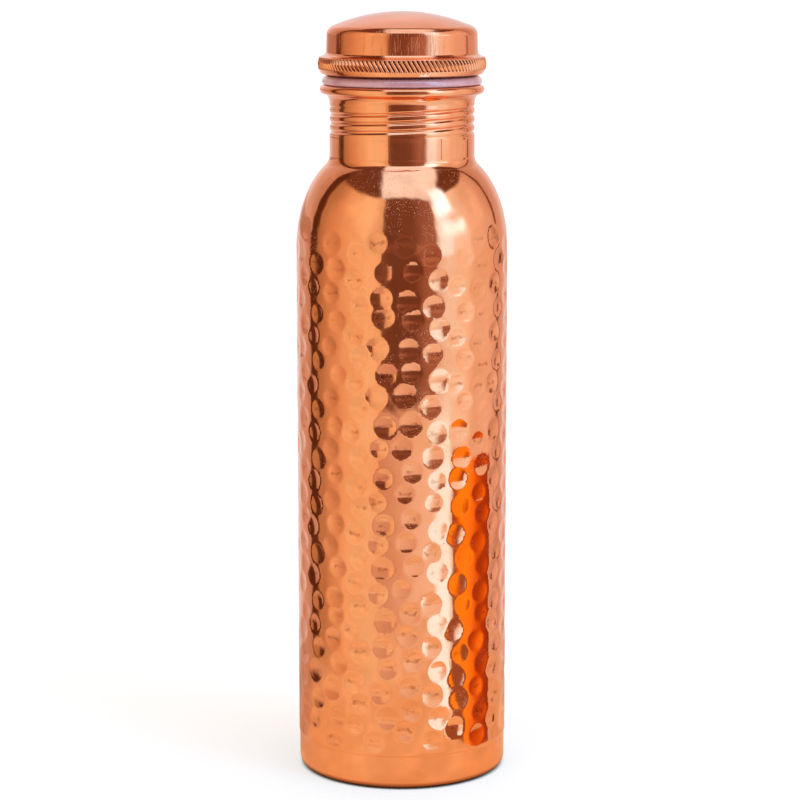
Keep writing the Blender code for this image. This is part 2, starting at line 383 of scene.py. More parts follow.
def rising_diagonals(angle, along, depth, depth_at):
    """Whether the rising diagonal of each cell follows the marks better than the falling one.

    depth_at(angle, along) gives how deep the marks are in the middle of the cells.
    """
    beside = np.roll(depth, -1, axis=0)
    next_angle = np.roll(angle, -1, axis=0)
    next_angle[-1] += math.tau
    next_along = np.roll(along, -1, axis=0)
    middle = depth_at(*((here[:, :-1] + here[:, 1:] + there[:, :-1] + there[:, 1:]) / 4
                        for here, there in ((angle, next_angle), (along, next_along))))
    rising = np.abs((depth[:, :-1] + beside[:, 1:]) / 2 - middle)
    falling = np.abs((beside[:, :-1] + depth[:, 1:]) / 2 - middle)
    return rising <= falling


def hammered_wall():
    """The body in one sheet: foot, smooth band, hammered wall, shoulder and spigot."""
    shoulder = arc(SHOULDER_CENTRE, (SHOULDER_WIDTH, SHOULDER_HEIGHT), 0, SHOULDER_END, 400)
    wall = np.array([(BODY_RADIUS, WALL_BOTTOM)] + shoulder)
    run = np.concatenate([[0], np.cumsum(np.linalg.norm(np.diff(wall, axis=0), axis=1))])
    run += WALL_BOTTOM
    marked_end = MARK_HIGHEST + 5.5
    rows = np.concatenate([np.arange(run[0] + CELL, marked_end, CELL),
                           np.linspace(marked_end, run[-1], 24)])
    columns = round(math.tau * BODY_RADIUS / CELL)
    angle, along = np.meshgrid(np.linspace(0, math.tau, columns, endpoint=False), rows,
                               indexing="ij")

    marks = hammer_marks()
    radius = np.interp(along, run, wall[:, 0])
    angle, along = seat_on_rims(angle, along, radius, rows, marks)
    radius = np.interp(along, run, wall[:, 0])
    height = np.interp(along, run, wall[:, 1])
    slope = np.gradient(wall, run, axis=0)
    depth = hammered(angle, along, radius, rows, marks)
    sink = depth + ripple(angle, along)
    r = radius - sink * np.interp(along, run, slope[:, 1])
    z = height + sink * np.interp(along, run, slope[:, 0])

    def depth_at(angle, along):
        return hammered(angle, along, np.interp(along, run, wall[:, 0]), rows[:-1], marks)

    split = rising_diagonals(angle, along, depth, depth_at)
    places = mark_places(angle, along, radius, rows, marks)
    return wall_mesh("hammered_wall", body_foot(), (angle, r, z), split, body_inside(), places)


def ripple(angle, along):
    """Faint waviness that spinning and polishing leave in the sheet, in millimetres."""
    waves = 0.016 * np.sin(3 * angle + along / 9.0) + 0.014 * np.sin(5 * angle - along / 6.5 + 1)
    waves += 0.010 * np.sin(11 * angle + along / 4.3 + 2)
    waves += 0.008 * np.sin(23 * angle - along / 1.7) * np.sin(13 * angle + along / 2.9 + 1)
    waves += 0.005 * np.sin(41 * angle + along / 1.1 + 3 * np.sin(4 * angle + along / 11))
    return waves


def wall_mesh(name, foot, grid, split, inner_line, places):
    """Joins the foot, the hammered grid and the inner face into one closed mesh."""
    angle, r, z = grid
    columns, rows = angle.shape
    around = np.linspace(0, math.tau, columns, endpoint=False)[:, None]
    parts = []
    for line in (np.array(foot), np.array(inner_line)):
        radius = np.broadcast_to(line[:, 0], (columns, len(line)))
        parts.append(np.stack([radius * np.cos(around), radius * np.sin(around),
                               np.broadcast_to(line[:, 1], radius.shape)], axis=-1))
    middle = np.stack([r * np.cos(angle), r * np.sin(angle), z], axis=-1)
    verts = np.concatenate([parts[0], middle, parts[1]], axis=1)
    total = verts.shape[1]
    index = np.arange(columns * total).reshape(columns, total)
    nxt = np.roll(index, -1, axis=0)
    up = np.roll(index, -1, axis=1)
    nxt_up = np.roll(nxt, -1, axis=1)
    start = parts[0].shape[1]
    band = slice(start, start + rows - 1)
    one = np.where(split[..., None],
                   np.stack([index, nxt, nxt_up], -1)[:, band],
                   np.stack([index, nxt, up], -1)[:, band])
    two = np.where(split[..., None],
                   np.stack([index, nxt_up, up], -1)[:, band],
                   np.stack([nxt, nxt_up, up], -1)[:, band])
    quads = np.stack([index, nxt, nxt_up, up], -1)
    plain = np.concatenate([quads[:, :start], quads[:, start + rows - 1:]], axis=1)
    faces = one.reshape(-1, 3).tolist() + two.reshape(-1, 3).tolist()
    faces += plain.reshape(-1, 4).tolist()
    obj = mesh_object(name, verts.reshape(-1, 3), faces)
    in_marks = np.zeros(verts.shape)
    in_marks[:, start:start + rows] = places
    attribute = obj.data.attributes.new("mark_place", "FLOAT_VECTOR", "POINT")
    attribute.data.foreach_set("vector", in_marks.ravel())
    return obj


# ---------------------------------------------------------------- other pieces of the bottle

def base_pan():
    """Pressed base with a shallow dome, whose skirt stands up inside the foot."""
    rim = CORNER_RADIUS - SHEET - 0.05
    outer = rounded([(0.0, 3.4), (16.0, 3.0, 60.0), (28.2, 2.6, 2.0), (30.2, 0.76, 1.2),
                     (FOOT_CENTRE[0], 0.76)], closed=False)
    outer = dense(outer, 1.5, closed=False)
    outer += arc(FOOT_CENTRE, rim, -88, 0, 8)
    outer += [(FOOT_CENTRE[0] + rim, BAND_TOP - 0.3)]
    return turned("pressed_base", sheet(outer), columns=192)


def seam_line(angle):
    """1 on the neck's brazed seam, falling to 0 beside it."""
    return np.exp(-(turn_from(SEAM_ANGLE, angle) * NECK_RADIUS / SEAM_WIDTH) ** 2)


def thread_wave(angle, z):
    """1 at the thread's crest and 0 at its root, which is a little narrower than the crest."""
    rise = z - THREAD_SHIFT - THREAD_LEAD * angle / math.tau
    phase = math.tau * rise / THREAD_PITCH
    return 1 - (0.5 - 0.5 * np.cos(phase)) ** 1.25


def fade(z, zone, run_out):
    """0 outside the zone and 1 inside it, smoothly over the run-out at both its ends."""
    share = np.clip(np.minimum(z - zone[0], zone[1] - z) / run_out, 0, 1)
    return share * share * (3 - 2 * share)


def neck_collar():
    """Rolled collar: plain part, thread pressed through the sheet, flare and rolled lip."""
    inner = NECK_RADIUS - SHEET
    bead = (LIP_RADIUS, LIP_Z)
    outline = rounded([
        (inner, NECK_BOTTOM), (NECK_RADIUS, NECK_BOTTOM, 0.1), (NECK_RADIUS, 221.9, 1.0),
        (NECK_CREST, 222.4, 1.0), (NECK_CREST, 234.0, 1.4), (25.25, 235.35, 2.2),
        (25.95, 236.3, 0.8), (26.3, 236.42)], closed=False)
    outline += arc(bead, LIP_BEAD, -88, 150, 30)
    outline += [(24.95, 237.8), (24.6, 236.6), (24.3, 235.4), (NECK_CREST - SHEET, 234.3),
                (NECK_CREST - SHEET, 222.4), (inner, 221.9)]
    outline = dense(outline, 0.14, zone=NECK_THREAD)
    outline = dense(outline, 0.7)

    def press(angle, r, z):
        wave = thread_wave(angle, z)
        outside = r > NECK_CREST - SHEET / 2
        depth = np.where(outside, OUTSIDE_DEPTH * (1 - wave) ** 1.7, THREAD_DEPTH * (1 - wave))
        groove = SEAM_DEPTH * seam_line(angle) * fade(z, (NECK_BOTTOM - 1, 223.2), 0.8)
        return -depth * fade(z, NECK_THREAD, 1.2) - np.where(r > NECK_RADIUS - 0.1, groove, 0)

    beside = np.array([0.06, 0.12, 0.18, 0.26, 0.36]) / NECK_RADIUS
    seam = SEAM_ANGLE + np.concatenate([-beside, [0], beside])
    even = np.linspace(-math.pi, math.pi, 280, endpoint=False)
    angles = np.unique(np.concatenate([even, seam]))
    return turned("rolled_neck", outline, press=press, angles=angles)


def neck_braze():
    """Concave fillet of filler, tangent to the shoulder below and to the collar above."""
    angle = math.radians(FILLET_ANGLE)
    foot = np.array([SHOULDER_CENTRE[0] + SHOULDER_WIDTH * math.cos(angle),
                     SHOULDER_CENTRE[1] + SHOULDER_HEIGHT * math.sin(angle)])
    uphill = unit(np.array([-SHOULDER_WIDTH * math.sin(angle), SHOULDER_HEIGHT * math.cos(angle)]))
    reach = (foot[0] - NECK_RADIUS) / -uphill[0]
    corner = foot + uphill * reach
    turn = math.pi / 2 - math.atan2(uphill[1], -uphill[0])
    face = rounded([tuple(foot), (*corner, reach / math.tan(turn / 2)),
                    (NECK_RADIUS, corner[1] + reach)], closed=False, per_turn=90)
    inside = NECK_RADIUS - 0.05
    outline = [(inside, corner[1] - 0.3), (foot[0], foot[1] - 0.12)] + face
    outline += [(inside, corner[1] + reach)]
    return turned("neck_fillet", dense(outline, 0.3))


def seal_ring():
    """Soft washer between the lip and the grip ring, rounder above than below."""
    low, high = LIP_Z + LIP_BEAD + 0.02, RING_BOTTOM - 0.02
    outline = rounded([
        (SEAL_INNER, low, 0.4), (SEAL_OUTER, low, SEAL_ROUNDS[0]),
        (SEAL_OUTER, high, SEAL_ROUNDS[1]), (SEAL_INNER, high, 0.4)], per_turn=64)
    return turned("silicone_seal", dense(outline, 0.6))


def base_braze():
    """Bead of filler inside the wall, over the base's skirt."""
    skirt = BAND_RADIUS - SHEET - JOINT_GAP
    outline = rounded([(skirt - 0.6, BAND_TOP, 0.1), (skirt, BAND_TOP), (skirt, BAND_TOP + 1, 0.1)])
    return turned("base_fillet", outline, columns=128)


# ---------------------------------------------------------------- the lid

def plug_sleeve():
    """Threaded sleeve with a flange at its top and a hem turned in at its bottom."""
    outline = rounded([
        (PLUG_HEM_INNER_RADIUS, PLUG_BOTTOM, 0.15), (PLUG_ROOT, PLUG_BOTTOM, 0.6),
        (PLUG_ROOT, PLUG_THREAD[1] + 0.2, 0.5), (PLUG_SHANK, PLUG_THREAD[1] + 0.6, 0.5),
        (PLUG_SHANK, PLUG_LEDGE, 0.25), (PLUG_FLANGE, PLUG_LEDGE, 0.15),
        (PLUG_FLANGE, PLUG_LEDGE + SHEET, 0.15), (PLUG_BORE, PLUG_LEDGE + SHEET, 0.5),
        (PLUG_BORE, PLUG_BOTTOM + SHEET, 0.2),
        (PLUG_HEM_INNER_RADIUS, PLUG_BOTTOM + SHEET, 0.15)])
    outline = dense(outline, 0.18, zone=PLUG_THREAD)
    outline = dense(outline, 1.0)

    def press(angle, r, z):
        raised = THREAD_DEPTH * thread_wave(angle, z) * fade(z, PLUG_THREAD, 1.0)
        outside = r > PLUG_BORE + SHEET / 2
        return np.where(outside, raised, 0)

    return turned("lid_sleeve", outline, columns=240, press=press)


def plug_floor():
    """Disc inside the sleeve's hem, raised in its middle."""
    bottom = PLUG_BOTTOM + SHEET + 0.05
    outer = rounded([(0.0, bottom + 0.9), (17.3, bottom + 0.9, 1.0), (18.6, bottom, 1.0),
                     (PLUG_BORE - 0.1, bottom)], closed=False)
    return turned("lid_floor", sheet(dense(outer, 1.5, closed=False)), columns=192)


def knurled_ring():
    """Grip ring with leaning flutes cut across its rounded rim."""
    low, high = KNURL_BAND
    rebate = CROWN_FOOT_RADIUS + 0.04
    bore = PLUG_SHANK + JOINT_GAP
    outline = rounded([
        (bore, RING_BOTTOM, 0.2), (25.9, RING_BOTTOM, 0.5), (27.8, 243.6, 0.4),
        (28.6, low - 0.1, 0.35),
        (RING_RADIUS + 0.1, (low + high) / 2, 2.6), (28.35, high + 0.2, 0.6),
        (27.3, 249.55, 0.5), (rebate + 0.35, RING_TOP - 0.15, 0.9), (rebate, RING_TOP + 0.4, 0.03),
        (rebate, RING_LEDGE), (bore, RING_LEDGE, 0.2)])
    outline = dense(outline, 0.24, zone=(low - 0.4, high + 0.4))

    def press(angle, r, z):
        turn = angle / math.tau * KNURL_FLUTES + KNURL_LEAN * (z - low) / (high - low)
        across = 2 * np.abs(turn - np.round(turn))
        inside = fade(z, (low - 0.15, high + 0.15), 0.35)
        on_rim = r > 27.8
        return np.where(on_rim, -KNURL_DEPTH * across ** 1.8 * inside, 0)

    return turned("grip_ring", outline, columns=KNURL_FLUTES * 10, press=press)


def lid_crown():
    """Drawn cap with a low dome, a rounded corner and a side that flares slightly."""
    centre_r = CROWN_TOP_RADIUS - CROWN_CORNER
    dome_z = CROWN_TOP - CROWN_DOME
    reach = CROWN_DOME - CROWN_CORNER
    corner_z = dome_z + math.sqrt(reach ** 2 - centre_r ** 2)
    tangent = math.degrees(math.atan2(corner_z - dome_z, centre_r))
    outer = [(CROWN_FOOT_RADIUS, z) for z in np.linspace(PLUG_LEDGE, RING_TOP + 0.6, 6)]
    side = np.linspace(0, 1, 12)[1:-1]
    outer += [(CROWN_FOOT_RADIUS + (CROWN_TOP_RADIUS - CROWN_FOOT_RADIUS) * t ** 0.8,
               RING_TOP + 0.6 + (corner_z - RING_TOP - 0.6) * t) for t in side]
    outer += arc((centre_r, corner_z), CROWN_CORNER, 0, tangent, 22)
    dome = arc((0.0, dome_z), CROWN_DOME, tangent, 90, 44)[1:]
    outer += dome[:-1] + [(0.0, CROWN_TOP)]

    def press(angle, r, z):
        waviness = 0.012
        return waviness * np.sin(3 * angle + z / 5) * np.clip(r / 5, 0, 1)

    return turned("domed_cap", sheet(outer), columns=256, press=press)


def lid_braze():
    """Bead of filler that holds the sleeve's flange in the cap."""
    low = PLUG_LEDGE + SHEET + JOINT_GAP
    outline = rounded([(PLUG_FLANGE - 1.2, low, 0.1), (PLUG_FLANGE, low, 0.1),
                       (PLUG_FLANGE, low + 1.2, 0.1)])
    return turned("lid_fillet", outline, columns=128)


# ---------------------------------------------------------------- materials

def add(tree, kind, inputs=None, **settings):
    """A new node; an input may be a value or another node's output."""
    node = tree.nodes.new(kind)
    for name, value in settings.items():
        setattr(node, name, value)
    for name, value in (inputs or {}).items():
        if isinstance(value, bpy.types.NodeSocket):
            tree.links.new(value, node.inputs[name])
        else:
            node.inputs[name].default_value = value
    return node


def calc(tree, operation, *values):
    """One step of arithmetic on values or other nodes' outputs."""
    return add(tree, "ShaderNodeMath", dict(enumerate(values)), operation=operation).outputs[0]


def ramp(tree, value, low, high, to_low=0.0, to_high=1.0, smooth=True):
    """Goes from to_low to to_high as the value goes from low to high, and stays level beyond."""
    node = add(tree, "ShaderNodeMapRange",
               {"Value": value, "From Min": low, "From Max": high, "To Min": to_low,
                "To Max": to_high},
               interpolation_type="SMOOTHSTEP" if smooth else "LINEAR")
    return node.outputs["Result"]


def noise(tree, vector, scale, detail=2.0, roughness=0.5):
    """Smooth noise from 0 to 1."""
    node = add(tree, "ShaderNodeTexNoise",
               {"Vector": vector, "Scale": scale, "Detail": detail, "Roughness": roughness})
    return node.outputs["Fac"]


def mixed(tree, share, a, b, blend="MIX"):
    node = add(tree, "ShaderNodeMix", data_type="RGBA", blend_type=blend)
    for name, value in (("Factor", share), ("A", a), ("B", b)):
        socket = [s for s in node.inputs if s.name == name and s.enabled][0]
        if isinstance(value, bpy.types.NodeSocket):
            tree.links.new(value, socket)
        else:
            socket.default_value = value
    return [s for s in node.outputs if s.enabled][0]


def new_material(name):
    material = bpy.data.materials.new(name)
    material.use_nodes = True
    tree = material.node_tree
    return material, tree, tree.nodes["Principled BSDF"]


def round_coordinates(tree, around, up):
    """Coordinates whose x and y run round the axis and whose z runs up it, at two scales."""
    place = add(tree, "ShaderNodeTexCoord").outputs["Object"]
    flat = add(tree, "ShaderNodeVectorMath", {0: place, 1: (1, 1, 0)}, operation="MULTIPLY")
    ring = add(tree, "ShaderNodeVectorMath", {0: flat.outputs[0]}, operation="NORMALIZE")
    ring = add(tree, "ShaderNodeVectorMath", {0: ring.outputs[0], 1: (around, around, 0)},
               operation="MULTIPLY")
    tall = add(tree, "ShaderNodeVectorMath", {0: place, 1: (0, 0, up)}, operation="MULTIPLY")
    both = add(tree, "ShaderNodeVectorMath", {0: ring.outputs[0], 1: tall.outputs[0]},
               operation="ADD")
    return both.outputs[0]


def painted_dimple_reflection(tree, place):
    """Painted dark reflection, soft and brown, in the middle of some marks: the dimples mirror dark
    things of the studio.

    It is a level bar with a spot near each of its ends, and noise makes its outline ragged. The
    sizes below are in millimetres, as the wall's mark_place attribute is.
    """
    where = add(tree, "ShaderNodeAttribute", attribute_name="mark_place").outputs["Vector"]
    ragged = add(tree, "ShaderNodeTexNoise", {"Vector": place, "Scale": 330.0, "Detail": 2.0})
    spread = add(tree, "ShaderNodeVectorMath", {0: ragged.outputs["Color"], 1: (0.5, 0.5, 0.5)},
                 operation="SUBTRACT")
    spread = add(tree, "ShaderNodeVectorMath", {0: spread.outputs[0], 1: (4.5, 3.0, 0.0)},
                 operation="MULTIPLY")
    where = add(tree, "ShaderNodeVectorMath", {0: where, 1: spread.outputs[0]}, operation="ADD")
    across, up, inwards = add(tree, "ShaderNodeSeparateXYZ", {"Vector": where.outputs[0]}).outputs
    across = calc(tree, "ABSOLUTE", across)
    bar = calc(tree, "MULTIPLY", ramp(tree, calc(tree, "ABSOLUTE", up), 0.1, 0.8, 0.5, 0),
               ramp(tree, across, 1.3, 2.6, 1, 0))
    from_spot = calc(tree, "SUBTRACT", across, 1.6)
    square = calc(tree, "ADD", calc(tree, "MULTIPLY", from_spot, from_spot),
                  calc(tree, "MULTIPLY", up, up))
    shape = calc(tree, "MAXIMUM", bar, ramp(tree, square, 0.0, 0.9, 0.8, 0))
    some_marks = ramp(tree, noise(tree, place, 150, 2, 0.5), 0.44, 0.62)
    shape = calc(tree, "MULTIPLY", shape, some_marks)
    return calc(tree, "MULTIPLY", shape, ramp(tree, inwards, 0.3, 0.55))


def painted_groove_shade(tree, place):
    """1 in the knurl's grooves, where the copper is darkened with painted shade."""
    _, reach, up = compass(tree, place)
    low, high = KNURL_BAND
    return soft_window(tree, reach, up, (0, GROOVE_RADIUS * MM), (low * MM, high * MM),
                       (0, 0.18 * MM, 0.2 * MM, 0.2 * MM))


def copper(name, tone=(1, 1, 1), polish=(0.05, 0.11), lathe=0.2, scratches=0.3, specks=0.5,
           hammered=False, knurled=False):
    """Polished copper: slight mottling of colour and shine, lathe rings, scratches and specks.

    polish is the roughness of its clearest and its dullest parts.
    """
    material, tree, shader = new_material(name)
    place = add(tree, "ShaderNodeTexCoord").outputs["Object"]

    mottle = ramp(tree, noise(tree, place, 55, 4, 0.6), 0.35, 0.68)
    light = tuple(c * t for c, t in zip(LIGHT_COPPER, tone)) + (1.0,)
    dark = tuple(c * t for c, t in zip(DARK_COPPER, tone)) + (1.0,)
    colour = mixed(tree, mottle, light, dark)
    if hammered:
        # Painted dark reflection in the middle of some hammer marks
        colour = mixed(tree, painted_dimple_reflection(tree, place), colour, DIMPLE_DARK_REFLECTION + (1.0,))
    if knurled:
        # Painted shade in the knurl's grooves
        grooves = calc(tree, "MULTIPLY", painted_groove_shade(tree, place), 0.55)
        colour = mixed(tree, grooves, colour, GROOVE_SHADE + (1.0,))

    smudge = ramp(tree, noise(tree, place, 90, 5, 0.65), 0.3, 0.75)
    grain = noise(tree, place, 2600, 2, 0.6)
    speck = calc(tree, "MULTIPLY", ramp(tree, grain, 0.64, 0.72),
                 ramp(tree, noise(tree, place, 75, 3, 0.6), 0.48, 0.62))
    shine = ramp(tree, smudge, 0, 1, *polish, smooth=False)
    shine = calc(tree, "ADD", shine, calc(tree, "MULTIPLY", speck, 0.10 * specks))

    rings = noise(tree, round_coordinates(tree, 1.2, 9000), 1.0, 2, 0.6)
    upright = noise(tree, round_coordinates(tree, 110, 140), 1.0, 2, 0.6)
    normal = add(tree, "ShaderNodeNewGeometry").outputs["Normal"]
    upwards = add(tree, "ShaderNodeSeparateXYZ", {"Vector": normal}).outputs["Z"]
    side = ramp(tree, calc(tree, "ABSOLUTE", upwards), 0.3, 0.8, 1, 0)
    scratch = calc(tree, "MULTIPLY", ramp(tree, upright, 0.57, 0.70), side)
    shine = calc(tree, "ADD", shine, calc(tree, "MULTIPLY", scratch, 0.22 * scratches))
    shine = calc(tree, "MINIMUM", shine, 0.5)

    height = calc(tree, "MULTIPLY", rings, lathe)
    height = calc(tree, "ADD", height, calc(tree, "MULTIPLY", scratch, -scratches))
    height = calc(tree, "ADD", height, calc(tree, "MULTIPLY", speck, -specks))
    bump = add(tree, "ShaderNodeBump", {"Height": height, "Strength": 1.0, "Distance": 0.00001})

    tree.links.new(colour, shader.inputs["Base Color"])
    tree.links.new(shine, shader.inputs["Roughness"])
    tree.links.new(bump.outputs["Normal"], shader.inputs["Normal"])
    shader.inputs["Metallic"].default_value = 1.0
    return material


def silicone(name):
    """Milky silicone with a pink and lilac cast; light travels a little way in."""
    material, tree, shader = new_material(name)
    place = add(tree, "ShaderNodeTexCoord").outputs["Object"]
    cloud = ramp(tree, noise(tree, place, 140, 3, 0.6), 0.3, 0.7)
    colour = mixed(tree, cloud, (0.65, 0.30, 0.33, 1), (0.73, 0.38, 0.41, 1))
    bump = add(tree, "ShaderNodeBump", {"Height": noise(tree, place, 900, 2), "Strength": 0.5,
                                        "Distance": 0.00003})
    tree.links.new(colour, shader.inputs["Base Color"])
    tree.links.new(bump.outputs["Normal"], shader.inputs["Normal"])
    tree.links.new(ramp(tree, cloud, 0, 1, 0.14, 0.24), shader.inputs["Roughness"])
    shader.inputs["Specular IOR Level"].default_value = 0.9
    shader.inputs["Coat Weight"].default_value = 1.0
    shader.inputs["Coat Roughness"].default_value = 0.1
    shader.inputs["Subsurface Weight"].default_value = 0.6
    shader.inputs["Subsurface Radius"].default_value = (1.0, 0.7, 0.8)
    shader.inputs["Subsurface Scale"].default_value = 0.0015
    return material


# ---------------------------------------------------------------- studio

def compass(tree, place):
    """Azimuth in degrees, distance from the axis and height of a place or a direction.

    Azimuth 0 faces the camera and grows to the right as the camera sees the bottle.
    """
    x, y, z = add(tree, "ShaderNodeSeparateXYZ", {"Vector": place}).outputs
    toward = calc(tree, "MULTIPLY", y, -1.0)
    azimuth = calc(tree, "MULTIPLY", calc(tree, "ARCTAN2", x, toward), 180 / math.pi)
    square = calc(tree, "ADD", calc(tree, "MULTIPLY", x, x), calc(tree, "MULTIPLY", y, y))
    return azimuth, calc(tree, "SQRT", square), z


def ceiling(tree, direction):
    """Place on a flat ceiling: -1 to 1 across its panel, and how far behind the bottle.

    The distance behind is in ceiling heights, and the panel is wider towards the camera.
    """
    x, y, z = add(tree, "ShaderNodeSeparateXYZ", {"Vector": direction}).outputs
    height = calc(tree, "MAXIMUM", z, 0.05)
    behind = calc(tree, "DIVIDE", y, height)
    middle = ramp(tree, behind, -2, 2, 0.282, 0.012, smooth=False)
    half = ramp(tree, behind, -2, 1, 1.105, 0.0385, smooth=False)
    across = calc(tree, "SUBTRACT", calc(tree, "DIVIDE", x, height), middle)
    return calc(tree, "DIVIDE", across, half), behind


def gradient(tree, value, stops):
    """Light that changes with a value, through stops of (value, light), divided by GAIN."""
    low, high = stops[0][0], stops[-1][0]
    share = ramp(tree, value, low, high, smooth=False)
    node = add(tree, "ShaderNodeValToRGB", {"Fac": share})
    elements = node.color_ramp.elements
    elements[0].position, elements[1].position = 0.0, 1.0
    for at, light in stops[1:-1]:
        elements.new((at - low) / (high - low))
    for element, (at, light) in zip(elements, stops):
        element.color = stored(light)
    return node.outputs["Color"]


def soft_window(tree, across, up, sides, levels, softness):
    """Mask between two sides and two levels.

    softness has a value for its left, right, lower and upper edge, and 0 leaves that side open.
    """
    mask = None
    edges = [(across, sides[0], 1), (across, sides[1], -1), (up, levels[0], 1), (up, levels[1], -1)]
    for (value, edge, sign), soft in zip(edges, softness):
        if soft == 0:
            continue
        side = ramp(tree, value, edge - soft, edge + soft, *((0, 1) if sign > 0 else (1, 0)))
        mask = side if mask is None else calc(tree, "MULTIPLY", mask, side)
    return mask


# Light around the bottle by azimuth, in degrees to the right of the camera: pale backdrop, warm
# panel on the left, dim room, cool panel on the right, pale backdrop
AROUND = [
    (-180, (0.98, 0.97, 1.05)), (-150, (0.84, 0.71, 0.68)), (-117, (0.68, 0.46, 0.38)),
    (-108, (0.53, 0.35, 0.21)), (-98, (0.56, 0.37, 0.22)), (-80, (0.80, 0.54, 0.37)),
    (-65, (1.03, 0.80, 0.54)), (-50, (1.06, 0.93, 0.68)), (-37, (1.05, 0.95, 0.73)),
    (-24, (0.92, 0.75, 0.53)), (38, (0.98, 1.02, 1.14)), (52, (1.04, 1.25, 1.42)),
    (68, (1.05, 1.18, 1.28)), (84, (1.03, 0.96, 0.92)), (106, (0.96, 0.84, 0.80)),
    (122, (0.80, 0.60, 0.52)), (129, (0.74, 0.52, 0.44)), (153, (0.85, 0.71, 0.67)),
    (180, (0.98, 0.97, 1.05))]

# Panels that cover the light around the bottle, the later ones on top. Each has its two sides, its
# two levels, the softness of its left, right, lower and upper edge, and its light. A wall panel's
# sides are azimuths and its levels elevations, in degrees. A ceiling panel's are in the ceiling's
# own coordinates: across it, and how far behind the bottle.
PANELS = [
    # The dim room behind the camera: its lighter right part, and its darker part
    ("wall", (-21.7, 38), (-90, 90), (0.7, 1.2, 0, 0), (0.38, 0.21, 0.17)),
    ("wall", (-21.7, 20), (-90, 90), (0.7, 9, 0, 0), (0.20, 0.095, 0.065)),
    # Only the lid mirrors what is level with it: the same two parts paler, and a wall far left
    ("wall", (-21.7, 40), (-3.1, 3), (0.7, 6, 0.2, 1), (0.48, 0.29, 0.23)),
    ("wall", (-21.7, 14), (-3.1, 3), (0.7, 13, 0.2, 1), (0.27, 0.125, 0.085)),
    ("wall", (-160, -118), (-3.1, 3), (8, 1, 0.2, 1), (0.53, 0.35, 0.28)),
    # The dark above the side panels, the dark ceiling, and the bright panel on it
    ("wall", (-117, 129), (42.5, 90), (1, 1, 1.8, 0), (0.19, 0.08, 0.05)),
    ("wall", (-181, 181), (58, 90), (0, 0, 1.5, 0), (0.19, 0.08, 0.05)),
    ("ceiling", (-1, 1), (-0.98, 0.28), (0.08, 0.12, 0.06, 0.02), (1.12, 1.50, 2.0)),
    # The key light on the right, its bright top, and its lower pane
    ("wall", (40, 57), (-5.5, 50), (3, 5, 2, 4), (1.15, 1.85, 2.75)),
    ("wall", (42, 64), (25, 49), (5, 5, 5, 4), (1.8, 2.9, 4.8)),
    ("wall", (46, 76), (9, 18), (7, 5, 5, 3), (1.5, 2.4, 3.6)),
    # The dark gap left of the panels, and the one right of them, which stands further in where it
    # is level with the lid
    ("wall", (-118.5, -105.5), (-90, 48), (0.9, 1.6, 0, 3), (0.12, 0.045, 0.02)),
    ("wall", (113.8, 119), (-3.1, 3), (1.6, 0.9, 0.2, 1), (0.16, 0.06, 0.03)),
    ("wall", (125.4, 129.6), (-11, -3.1), (1.0, 0.8, 1.5, 0.2), (0.16, 0.06, 0.03)),
    ("wall", (125.4, 129.6), (3, 48), (1.0, 0.8, 1, 3), (0.16, 0.06, 0.03)),
]

# The table's light by distance from the axis, and how its sides dim by azimuth
TABLE = [
    (0.0345, (0.05, 0.015, 0.005)), (0.036, (0.50, 0.25, 0.12)), (0.039, (0.98, 0.66, 0.38)),
    (0.055, (1.03, 0.76, 0.48)), (0.12, (1.00, 0.80, 0.56)), (0.26, (0.97, 0.86, 0.72))]
TABLE_SIDES = [
    (-180, (0.60, 0.49, 0.50)), (-117, (0.68, 0.54, 0.54)), (-85, (0.94, 0.90, 0.87)),
    (-60, (1.0, 1.0, 1.0)), (50, (1.0, 1.0, 1.0)), (85, (0.90, 0.83, 0.77)),
    (126, (0.95, 0.84, 0.82)), (150, (0.78, 0.66, 0.66)), (180, (0.60, 0.49, 0.50))]

# Light of the low sill in front of the table, by azimuth
SILL = [(-24, (0.72, 0.52, 0.44)), (0, (0.86, 0.70, 0.64)), (14, (0.98, 0.95, 0.95)),
        (38, (1.02, 1.06, 1.10))]

STRIP_LIGHT = (1.15, 2.0, 3.0)

# Light of the warm card on the right, by y along its width, and in its dim corner
CARD = [
    (-0.085, (0.30, 0.07, 0.02)), (-0.075, (0.58, 0.14, 0.015)), (-0.063, (1.22, 0.52, 0.02)),
    (-0.046, (1.20, 0.47, 0.03)), (-0.035, (1.08, 0.35, 0.03)), (-0.025, (0.80, 0.18, 0.012)),
    (-0.012, (0.50, 0.09, 0.012)), (0.003, (0.40, 0.065, 0.018)), (0.008, (0.12, 0.03, 0.01))]
CARD_CORNER = (0.36, 0.144, 0.072)


def stored(light):
    """Light as a node keeps it, divided by GAIN."""
    return tuple(c / GAIN for c in light) + (1.0,)


